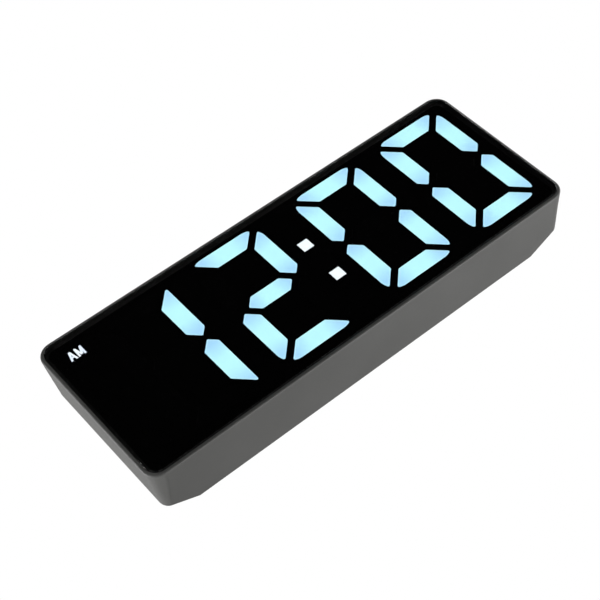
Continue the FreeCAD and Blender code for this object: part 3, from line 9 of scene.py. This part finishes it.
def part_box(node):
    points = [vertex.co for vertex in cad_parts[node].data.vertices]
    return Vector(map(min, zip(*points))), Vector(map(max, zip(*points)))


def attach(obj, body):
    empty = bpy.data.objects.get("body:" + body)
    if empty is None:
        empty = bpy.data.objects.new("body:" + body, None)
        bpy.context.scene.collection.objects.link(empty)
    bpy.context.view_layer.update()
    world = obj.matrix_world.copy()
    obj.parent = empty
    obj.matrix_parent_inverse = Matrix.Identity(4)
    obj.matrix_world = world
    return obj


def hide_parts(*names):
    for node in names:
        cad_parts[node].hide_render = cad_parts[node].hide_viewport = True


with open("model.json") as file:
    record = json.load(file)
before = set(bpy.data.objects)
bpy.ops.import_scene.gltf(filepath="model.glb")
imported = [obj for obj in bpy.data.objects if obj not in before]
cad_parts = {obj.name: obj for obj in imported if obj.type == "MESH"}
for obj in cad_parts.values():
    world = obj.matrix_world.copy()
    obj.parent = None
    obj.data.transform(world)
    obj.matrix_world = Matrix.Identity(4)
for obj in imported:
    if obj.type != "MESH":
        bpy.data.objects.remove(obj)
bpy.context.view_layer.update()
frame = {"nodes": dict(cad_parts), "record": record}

MM = 0.001
MERGE_DISTANCE = 0.001 * MM
MERGE_ANGLE = math.radians(1.0)
FLAT_TOLERANCE = 0.005 * MM    # points this close to a plane are taken to be in it

# ---- the range that most noise values lie in ----
NOISE_LOW = 0.3
NOISE_HIGH = 0.7

# ---- camera: where it stands about the middle of the body ----
CAMERA_AZIMUTH = -25.7         # degrees
CAMERA_ELEVATION = -30.2
CAMERA_ROLL = 47.85
CAMERA_DISTANCE = 457.0 * MM
CAMERA_AIM = Vector((-4.1, 1.57, 0.62)) * MM
LENS_LENGTH = 87.1             # millimetres on a 36 mm wide sensor
SENSOR_WIDTH = 36.0
NEAREST_SEEN = 10.0 * MM

# ---- floor ----
FLOOR_SIZE = 6.0
FLOOR_DROP = 0.02 * MM

# ---- batteries ----
RIGHT_POINTING_CELLS = ("battery_cell_2",)

# ---- printed symbols on the button caps ----
MARK_HEIGHT = 0.06 * MM
MARK_SIZE = 1.9 * MM           # half width of the largest symbol; the symbols are drawn in shares of it
MARK_LINE = 0.32 * MM

# ---- lit segments ----
GLOW_BORDER = 0.38 * MM        # the lighter edge of each lit window
LENS_CLEAR = 0.5               # share that each face of the lens lets through
LIT = 1.0 / LENS_CLEAR ** 2    # emission that looks full strength behind the lens
GLOW_PATCHES = 0.35            # how much the glow varies from place to place
GLOW_PATCH_SCALE = 110.0

# ---- surfaces: dark colour, light colour, lowest and highest roughness, grain scale, grain strength ----
SURFACES = {
    "case_plastic": ((0.066, 0.066, 0.064), (0.074, 0.074, 0.072), 0.50, 0.62, 2600.0, 0.35),
    "cover_plastic": ((0.056, 0.056, 0.055), (0.066, 0.066, 0.064), 0.50, 0.64, 1900.0, 0.6),
    "door_plastic": ((0.058, 0.058, 0.057), (0.068, 0.068, 0.066), 0.48, 0.62, 1900.0, 0.6),
    "button_plastic": ((0.05, 0.05, 0.05), (0.058, 0.058, 0.058), 0.36, 0.46, 3000.0, 0.2),
    "tape_black": ((0.030, 0.030, 0.029), (0.036, 0.036, 0.035), 0.8, 0.9, 1500.0, 0.4),
    "film_black": ((0.0008, 0.0008, 0.0008), (0.001, 0.001, 0.001), 0.7, 0.8, 1500.0, 0.1),
    "segment_off": ((0.0008, 0.0008, 0.0008), (0.001, 0.001, 0.001), 0.6, 0.7, 800.0, 0.1),
    "reflector_white": ((0.78, 0.78, 0.76), (0.84, 0.84, 0.82), 0.4, 0.5, 900.0, 0.2),
    "led_white": ((0.75, 0.68, 0.3), (0.85, 0.78, 0.4), 0.3, 0.4, 900.0, 0.1),
    "chip_black": ((0.018, 0.018, 0.018), (0.026, 0.026, 0.026), 0.5, 0.65, 2500.0, 0.5),
    "capacitor_silver": ((0.6, 0.6, 0.62), (0.72, 0.72, 0.74), 0.25, 0.4, 1500.0, 0.2),
    "ceramic_tan": ((0.42, 0.28, 0.15), (0.5, 0.35, 0.2), 0.4, 0.5, 1500.0, 0.2),
    "plated_steel": ((0.58, 0.57, 0.54), (0.68, 0.67, 0.64), 0.18, 0.34, 2200.0, 0.25),
    "screw_steel": ((0.10, 0.10, 0.105), (0.16, 0.16, 0.165), 0.28, 0.42, 2600.0, 0.3),
    "switch_black": ((0.02, 0.02, 0.02), (0.028, 0.028, 0.028), 0.4, 0.5, 2000.0, 0.3),
    "plunger_black": ((0.02, 0.02, 0.02), (0.03, 0.03, 0.03), 0.35, 0.45, 2000.0, 0.3),
    "wire_red": ((0.5, 0.012, 0.01), (0.6, 0.02, 0.015), 0.35, 0.45, 900.0, 0.15),
    "wire_black": ((0.012, 0.012, 0.012), (0.02, 0.02, 0.02), 0.35, 0.45, 900.0, 0.15),
    "solder": ((0.55, 0.55, 0.56), (0.66, 0.66, 0.68), 0.15, 0.3, 900.0, 0.3),
    "buzzer_black": ((0.016, 0.016, 0.016), (0.022, 0.022, 0.022), 0.35, 0.5, 2000.0, 0.3),
}
INK = ((0.46, 0.46, 0.45), (0.54, 0.54, 0.53), 0.5, 0.6, 1800.0, 0.2)
METALS = ("capacitor_silver", "plated_steel", "screw_steel", "solder")
DULL = {"case_plastic": 0.3, "film_black": 0.02, "segment_off": 0.02}      # specular level
USUAL_SPECULAR = 0.5
PATCH_SCALE = 45.0             # noise scale of the slow colour patches
GRAIN_DEPTH = 0.05 * MM
HAZE_SCALE = 30.0
TRACK_SCALE = 120.0
TRACK_GAP = 0.01
TRACK_DEPTH = 0.03 * MM
FINE_BOARD_SCALE = 600.0
FINE_SLEEVE_SCALE = 900.0
SLEEVE_GRAIN_DEPTH = 0.02 * MM
STEEL = (0.62, 0.62, 0.60)

# ---- light panels: place about the middle of the body and size in metres, power in watts ----
PANELS = {
    "left": ((-0.85, 0.35, 0.20), (0.5, 0.5), 13.5),
    "below_right": ((0.50, 0.05, -0.80), (0.8, 0.5), 15.5),
    "above": ((0.20, 0.30, 1.10), (1.0, 0.8), 6.5),
    "front": ((-0.20, -1.20, 0.30), (0.8, 0.6), 1.2),
    "behind": ((0.60, 1.20, 0.60), (0.8, 0.6), 10.0),
    "right": ((1.00, 0.20, 0.30), (0.6, 0.6), 6.0),
}

# ---- world: what the camera sees behind the object, what lights it, what it reflects ----
WORLD_SEEN = 1.0
WORLD_FILL = 0.2
WORLD_REFLECTED = 0.015


# ---------------------------------------------------------------- node helpers

def new_material(name):
    material = bpy.data.materials.new(name)
    material.use_nodes = True
    tree = material.node_tree
    return material, tree, tree.nodes["Principled BSDF"]


def add(tree, kind, **values):
    node = tree.nodes.new(kind)
    for key, value in values.items():
        setattr(node, key, value)
    return node


def object_coordinates(tree):
    return add(tree, "ShaderNodeTexCoord").outputs["Object"]


def noise(tree, coordinates, scale, detail=3.0):
    node = add(tree, "ShaderNodeTexNoise")
    node.inputs["Scale"].default_value = scale
    node.inputs["Detail"].default_value = detail
    tree.links.new(coordinates, node.inputs["Vector"])
    return node.outputs["Fac"]


def ramp(tree, factor, stops):
    """A colour ramp; stops are (position, colour)."""
    node = add(tree, "ShaderNodeValToRGB")
    elements = node.color_ramp.elements
    elements[0].position, elements[0].color = stops[0][0], (*stops[0][1], 1.0)
    elements[1].position, elements[1].color = stops[-1][0], (*stops[-1][1], 1.0)
    for position, colour in stops[1:-1]:
        elements.new(position).color = (*colour, 1.0)
    tree.links.new(factor, node.inputs["Fac"])
    return node.outputs["Color"]


def map_range(tree, value, low, high, to_low, to_high):
    node = add(tree, "ShaderNodeMapRange")
    for socket, number in zip(("From Min", "From Max", "To Min", "To Max"), (low, high, to_low, to_high)):
        node.inputs[socket].default_value = number
    tree.links.new(value, node.inputs["Value"])
    return node.outputs["Result"]


def link_roughness(tree, shader, fine, low, high):
    """Roughness from low to high, following the noise."""
    roughness = map_range(tree, fine, NOISE_LOW, NOISE_HIGH, low, high)
    tree.links.new(roughness, shader.inputs["Roughness"])


def bump(tree, height, strength, distance):
    node = add(tree, "ShaderNodeBump")
    node.inputs["Strength"].default_value = strength
    node.inputs["Distance"].default_value = distance
    tree.links.new(height, node.inputs["Height"])
    return node.outputs["Normal"]


def varied(name, dark, light, rough_low, rough_high, grain, grain_strength):
    """A surface with slow colour patches, and a fine grain that varies its roughness and height."""
    material, tree, shader = new_material(name)
    coordinates = object_coordinates(tree)
    slow = noise(tree, coordinates, PATCH_SCALE, 4.0)
    fine = noise(tree, coordinates, grain, 2.0)
    colour = ramp(tree, slow, [(NOISE_LOW, dark), (NOISE_HIGH, light)])
    tree.links.new(colour, shader.inputs["Base Color"])
    link_roughness(tree, shader, fine, rough_low, rough_high)
    tree.links.new(bump(tree, fine, grain_strength, GRAIN_DEPTH), shader.inputs["Normal"])
    shader.inputs["Metallic"].default_value = 1.0 if name in METALS else 0.0
    shader.inputs["Specular IOR Level"].default_value = DULL.get(name, USUAL_SPECULAR)
    return material


def smoked_acrylic():
    """Polished dark acrylic that lets lit segments through."""
    material, tree, shader = new_material("smoked_acrylic")
    coordinates = object_coordinates(tree)
    haze = noise(tree, coordinates, HAZE_SCALE, 5.0)
    colour = ramp(tree, haze, [(0.35, (0.0004, 0.0004, 0.0005)), (0.65, (0.0007, 0.0007, 0.0008))])
    tree.links.new(colour, shader.inputs["Base Color"])
    link_roughness(tree, shader, haze, 0.035, 0.06)
    shader.inputs["Alpha"].default_value = 1.0 - LENS_CLEAR
    shader.inputs["Specular IOR Level"].default_value = USUAL_SPECULAR
    return material


def glow(name, middle, end):
    """A lit diffuser, with one colour over the middle of each bar and another towards its ends."""
    material, tree, shader = new_material(name)
    uv = add(tree, "ShaderNodeUVMap").outputs["UV"]
    split = add(tree, "ShaderNodeSeparateXYZ")
    tree.links.new(uv, split.inputs["Vector"])
    along = add(tree, "ShaderNodeMath", operation="ABSOLUTE")
    tree.links.new(split.outputs["X"], along.inputs[0])
    patches = noise(tree, object_coordinates(tree), GLOW_PATCH_SCALE, 2.0)
    mixed = add(tree, "ShaderNodeMath", operation="MULTIPLY_ADD")
    mixed.inputs[1].default_value = GLOW_PATCHES
    tree.links.new(patches, mixed.inputs[0])
    tree.links.new(along.outputs["Value"], mixed.inputs[2])
    colour = ramp(tree, mixed.outputs["Value"], [(0.45, middle), (1.15, end)])
    tree.links.new(colour, shader.inputs["Emission Color"])
    tree.links.new(colour, shader.inputs["Base Color"])
    shader.inputs["Emission Strength"].default_value = LIT
    shader.inputs["Roughness"].default_value = 0.5
    return material


# ---------------------------------------------------------------- materials

def printed_board():
    """Green solder mask with slightly raised tracks."""
    material, tree, shader = new_material("board_green")
    coordinates = object_coordinates(tree)
    tracks = add(tree, "ShaderNodeTexBrick", offset=0.5)
    tracks.inputs["Scale"].default_value = TRACK_SCALE
    tracks.inputs["Color1"].default_value = (0.010, 0.10, 0.045, 1)
    tracks.inputs["Color2"].default_value = (0.012, 0.13, 0.055, 1)
    tracks.inputs["Mortar"].default_value = (0.02, 0.2, 0.09, 1)
    tracks.inputs["Mortar Size"].default_value = TRACK_GAP
    swap = add(tree, "ShaderNodeMapping")
    swap.inputs["Rotation"].default_value = (math.radians(90), 0, 0)
    tree.links.new(coordinates, swap.inputs["Vector"])
    tree.links.new(swap.outputs["Vector"], tracks.inputs["Vector"])
    tree.links.new(tracks.outputs["Color"], shader.inputs["Base Color"])
    fine = noise(tree, coordinates, FINE_BOARD_SCALE)
    link_roughness(tree, shader, fine, 0.25, 0.4)
    tree.links.new(bump(tree, tracks.outputs["Fac"], 0.4, TRACK_DEPTH), shader.inputs["Normal"])
    return material


def cell_sleeve(name, low_x, high_x, points_right):
    """Sleeve of a battery cell: copper-coloured at its positive end, and dark green along the rest."""
    material, tree, shader = new_material(name)
    coordinates = object_coordinates(tree)
    split = add(tree, "ShaderNodeSeparateXYZ")
    tree.links.new(coordinates, split.inputs["Vector"])
    negative, positive = (low_x, high_x) if points_right else (high_x, low_x)
    along = map_range(tree, split.outputs["X"], negative, positive, 0.0, 1.0)
    bands = [(0.0, STEEL), (0.012, (0.004, 0.050, 0.035)), (0.40, (0.005, 0.062, 0.042))]
    bands += [(0.70, (0.62, 0.28, 0.10)), (0.96, STEEL), (1.0, STEEL)]
    body = ramp(tree, along, bands)
    body.node.color_ramp.interpolation = "CONSTANT"
    tree.links.new(body, shader.inputs["Base Color"])
    fine = noise(tree, coordinates, FINE_SLEEVE_SCALE)
    link_roughness(tree, shader, fine, 0.22, 0.34)
    tree.links.new(bump(tree, fine, 0.1, SLEEVE_GRAIN_DEPTH), shader.inputs["Normal"])
    shader.inputs["Metallic"].default_value = 0.6
    return material


def make_materials():
    materials = {slot: varied(slot, *look) for slot, look in SURFACES.items()}
    materials["smoked_acrylic"] = smoked_acrylic()
    materials["segment_glow"] = glow("segment_glow", (0.50, 0.92, 1.0), (0.38, 0.68, 0.93))
    materials["board_green"] = printed_board()
    return materials


# ---------------------------------------------------------------- lit segments

def loose_parts(bm):
    """Lists of vertices, one list for each separate solid."""
    left = set(bm.verts)
    parts = []
    while left:
        grow = [left.pop()]
        part = list(grow)
        while grow:
            vertex = grow.pop()
            for edge in vertex.link_edges:
                other = edge.other_vert(vertex)
                if other in left:
                    left.discard(other)
                    part.append(other)
                    grow.append(other)
        parts.append(part)
    return parts


def on_plane(face, y):
    return all(abs(vertex.co.y - y) < FLAT_TOLERANCE for vertex in face.verts)


def extent(values):
    """The middle of some values, and half their spread."""
    low, high = min(values), max(values)
    return (low + high) / 2.0, (high - low) / 2.0


def lit_piece(name, node, material, border, edge_material):
    """A copy of a lit CAD node with a border round each window, and u from -1 to 1 along each bar."""
    source = frame["nodes"][node]
    bm = bmesh.new()
    bm.from_mesh(source.data)
    bmesh.ops.remove_doubles(bm, verts=bm.verts, dist=MERGE_DISTANCE)
    bmesh.ops.dissolve_limit(bm, angle_limit=MERGE_ANGLE, verts=bm.verts, edges=bm.edges)
    front_y = min(vertex.co.y for vertex in bm.verts)
    fronts = [face for face in bm.faces if on_plane(face, front_y)]
    if border:
        inner = set(fronts)
        bmesh.ops.inset_individual(bm, faces=fronts, thickness=border, use_even_offset=True)
        for face in bm.faces:
            face.material_index = 1 if on_plane(face, front_y) and face not in inner else 0
    layer = bm.loops.layers.uv.new("UVMap")
    for part in loose_parts(bm):
        middle_x, half_x = extent([vertex.co.x for vertex in part])
        middle_z, half_z = extent([vertex.co.z for vertex in part])
        lying = half_x > half_z
        for vertex in part:
            for loop in vertex.link_loops:
                across = (vertex.co.x - middle_x) / half_x
                up = (vertex.co.z - middle_z) / half_z
                loop[layer].uv = (across, up) if lying else (up, across)
    mesh = bpy.data.meshes.new(name)
    bm.to_mesh(mesh)
    bm.free()
    piece = bpy.data.objects.new(name, mesh)
    bpy.context.scene.collection.objects.link(piece)
    mesh.materials.append(material)
    mesh.materials.append(edge_material)
    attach(piece, "case")
    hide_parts(node)


def make_lit_pieces(materials):
    border = glow("segment_glow_border", (0.56, 0.96, 1.0), (0.46, 0.80, 0.98))
    dots = glow("dot_glow", (0.90, 0.98, 1.0), (0.86, 0.95, 1.0))
    letters = glow("letter_glow", (0.88, 0.95, 1.0), (0.74, 0.84, 1.0))
    lit_piece("hour_glow", "hour_segments_lit", materials["segment_glow"], GLOW_BORDER, border)
    lit_piece("minute_glow", "minute_segments_lit", materials["segment_glow"], GLOW_BORDER, border)
    lit_piece("colon_glow", "colon_dots", dots, GLOW_BORDER / 2.0, dots)
    lit_piece("am_glow", "am_indicator", letters, 0.0, letters)


# ---------------------------------------------------------------- symbols on the buttons

def ring_points(radius, count=24, start=0.0, sweep=360.0):
    """Points (x, z) round a circle or an arc, angles in degrees."""
    closed = sweep >= 360.0
    steps = count if closed else count - 1
    angles = [math.radians(start + sweep * number / steps) for number in range(count)]
    return [(radius * math.cos(angle), radius * math.sin(angle)) for angle in angles]


def strip(points, width, closed=False):
    """The quads of a line of this width through (x, z) points."""
    count = len(points)
    sides = []
    for number, (x, z) in enumerate(points):
        before = points[(number - 1) % count] if closed or number > 0 else points[number]
        after = points[(number + 1) % count] if closed or number < count - 1 else points[number]
        along = Vector((after[0] - before[0], after[1] - before[1])).normalized()
        across = Vector((-along.y, along.x)) * width / 2.0
        sides.append(((x + across.x, z + across.y), (x - across.x, z - across.y)))
    last = count if closed else count - 1
    quads = []
    for number in range(last):
        first, second = sides[number], sides[(number + 1) % count]
        quads.append([first[0], second[0], second[1], first[1]])
    return quads


def clock_mark():
    hands = [(0.0, 0.55 * MARK_SIZE), (0.0, 0.0), (0.42 * MARK_SIZE, 0.0)]
    return strip(ring_points(0.85 * MARK_SIZE), MARK_LINE, True) + strip(hands, MARK_LINE)


def arrow_mark(up):
    half = 0.75 * MARK_SIZE
    return [[(-half, -up * half * 0.8), (half, -up * half * 0.8), (0.0, up * half * 0.9)]]


def bell_mark():
    """A bell: a dome on a flared foot, with a clapper under it."""
    dome = ring_points(0.5 * MARK_SIZE, 13, 0.0, 180.0)
    outline = [(x, z + 0.2 * MARK_SIZE) for x, z in dome]
    outline += [(-0.55 * MARK_SIZE, -0.3 * MARK_SIZE), (-0.8 * MARK_SIZE, -0.55 * MARK_SIZE)]
    outline += [(0.8 * MARK_SIZE, -0.55 * MARK_SIZE), (0.55 * MARK_SIZE, -0.3 * MARK_SIZE)]
    clapper = [(x, z - 0.78 * MARK_SIZE) for x, z in ring_points(0.16 * MARK_SIZE, 12)]
    return [outline, clapper]


def sun_mark():
    """A small disc with eight rays."""
    shapes = [ring_points(0.38 * MARK_SIZE, 20)]
    for number in range(8):
        angle = math.radians(45.0 * number)
        reaches = (0.58 * MARK_SIZE, 0.88 * MARK_SIZE)
        ray = [(reach * math.cos(angle), reach * math.sin(angle)) for reach in reaches]
        shapes += strip(ray, MARK_LINE * 0.8)
    return shapes


def printed_mark(name, node, body, shapes, material):
    """Thin raised ink on the outer face of a button cap."""
    low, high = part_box(node)
    middle = (low + high) / 2.0
    bm = bmesh.new()
    for shape in shapes:
        base = [bm.verts.new((middle.x + x, high.y, middle.z + z)) for x, z in shape]
        face = bm.faces.new(base)
        lifted = bmesh.ops.extrude_face_region(bm, geom=[face])
        risen = [item for item in lifted["geom"] if isinstance(item, bmesh.types.BMVert)]
        bmesh.ops.translate(bm, verts=risen, vec=(0.0, MARK_HEIGHT, 0.0))
    bmesh.ops.recalc_face_normals(bm, faces=bm.faces)
    mesh = bpy.data.meshes.new(name)
    bm.to_mesh(mesh)
    bm.free()
    mesh.materials.append(material)
    piece = bpy.data.objects.new(name, mesh)
    bpy.context.scene.collection.objects.link(piece)
    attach(piece, body)


def make_button_marks():
    ink = varied("mark_ink", *INK)
    marks = {
        "mode": clock_mark(),
        "up": arrow_mark(1.0),
        "down": arrow_mark(-1.0),
        "alarm": bell_mark(),
        "light": sun_mark(),
    }
    for name, shapes in marks.items():
        printed_mark(name + "_mark", name + "_button", name + "_key", shapes, ink)


# ---------------------------------------------------------------- CAD nodes

def finish_cad_nodes(materials):
    slots = {entry["node"]: entry["material_slot"] for entry in frame["record"]["subparts"]}
    for node, piece in frame["nodes"].items():
        piece.data.materials.clear()
        if slots[node] == "cell_can":
            low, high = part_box(node)
            points_right = node in RIGHT_POINTING_CELLS
            piece.data.materials.append(cell_sleeve(node + "_sleeve", low.x, high.x, points_right))
        else:
            piece.data.materials.append(materials[slots[node]])


# ---------------------------------------------------------------- stage, light and camera

def make_floor():
    """A pale floor that is clear from below, because the main camera looks up from under it."""
    half = FLOOR_SIZE / 2.0
    mesh = bpy.data.meshes.new("floor")
    corners = [(-half, -half), (half, -half), (half, half), (-half, half)]
    mesh.from_pydata([(x, y, -FLOOR_DROP) for x, y in corners], [], [(0, 1, 2, 3)])
    floor = bpy.data.objects.new("floor", mesh)
    bpy.context.scene.collection.objects.link(floor)
    material, tree, shader = new_material("floor")
    shader.inputs["Base Color"].default_value = (0.82, 0.82, 0.81, 1)
    shader.inputs["Roughness"].default_value = 0.9
    clear = add(tree, "ShaderNodeBsdfTransparent")
    side = add(tree, "ShaderNodeNewGeometry")
    mix = add(tree, "ShaderNodeMixShader")
    tree.links.new(side.outputs["Backfacing"], mix.inputs["Fac"])
    tree.links.new(shader.outputs["BSDF"], mix.inputs[1])
    tree.links.new(clear.outputs["BSDF"], mix.inputs[2])
    tree.links.new(mix.outputs["Shader"], tree.nodes["Material Output"].inputs["Surface"])
    mesh.materials.append(material)
    floor.visible_shadow = False


def make_world():
    """White behind the object, dim grey as a light, and near-black in reflections, to keep the lens black."""
    world = bpy.data.worlds.new("studio")
    bpy.context.scene.world = world
    world.use_nodes = True
    tree = world.node_tree
    tree.nodes.clear()
    path = add(tree, "ShaderNodeLightPath")
    output = add(tree, "ShaderNodeOutputWorld")
    shades = {}
    for name, strength in (("white", WORLD_SEEN), ("fill", WORLD_FILL), ("dark", WORLD_REFLECTED)):
        shade = add(tree, "ShaderNodeBackground")
        shade.inputs["Color"].default_value = (1, 1, 1, 1)
        shade.inputs["Strength"].default_value = strength
        shades[name] = shade.outputs["Background"]
    glossy = add(tree, "ShaderNodeMixShader")
    tree.links.new(path.outputs["Is Glossy Ray"], glossy.inputs["Fac"])
    tree.links.new(shades["fill"], glossy.inputs[1])
    tree.links.new(shades["dark"], glossy.inputs[2])
    final = add(tree, "ShaderNodeMixShader")
    tree.links.new(path.outputs["Is Camera Ray"], final.inputs["Fac"])
    tree.links.new(glossy.outputs["Shader"], final.inputs[1])
    tree.links.new(shades["white"], final.inputs[2])
    tree.links.new(final.outputs["Shader"], output.inputs["Surface"])


def area_light(name, place, aim, size, power):
    light = bpy.data.lights.new(name, "AREA")
    light.shape = "RECTANGLE"
    light.size, light.size_y = size
    light.energy = power
    lamp = bpy.data.objects.new(name, light)
    direction = Vector(aim) - Vector(place)
    lamp.matrix_world = Matrix.Translation(place) @ direction.to_track_quat("-Z", "Y").to_matrix().to_4x4()
    bpy.context.scene.collection.objects.link(lamp)


def make_lights(middle):
    """Soft panels all round, with the strongest to the left and down to the right."""
    for name, (place, size, power) in PANELS.items():
        area_light(name, middle + Vector(place), middle, size, power)


def make_camera(middle):
    azimuth, elevation, roll = (math.radians(a) for a in (CAMERA_AZIMUTH, CAMERA_ELEVATION, CAMERA_ROLL))
    forward = Vector((-math.sin(azimuth) * math.cos(elevation), math.cos(azimuth) * math.cos(elevation),
                      -math.sin(elevation)))
    right = Vector((math.cos(azimuth), math.sin(azimuth), 0.0))
    up = right.cross(forward)
    rolled_up = up * math.cos(roll) + right * math.sin(roll)
    rolled_right = forward.cross(rolled_up)
    place = middle + CAMERA_AIM - forward * CAMERA_DISTANCE
    turn = Matrix((rolled_right, rolled_up, -forward)).transposed().to_4x4()
    camera_data = bpy.data.cameras.new("camera")
    camera_data.sensor_width = SENSOR_WIDTH
    camera_data.lens = LENS_LENGTH
    camera_data.clip_start = NEAREST_SEEN
    camera = bpy.data.objects.new("camera", camera_data)
    camera.matrix_world = Matrix.Translation(place) @ turn
    bpy.context.scene.collection.objects.link(camera)
    bpy.context.scene.camera = camera


# ---------------------------------------------------------------- the scene

def main():
    low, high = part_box("front_housing")
    middle = (low + high) / 2.0
    make_camera(middle)
    make_world()
    make_floor()
    make_lights(middle)
    bpy.context.scene.view_settings.view_transform = "Standard"
    materials = make_materials()
    finish_cad_nodes(materials)
    make_lit_pieces(materials)
    make_button_marks()


main()
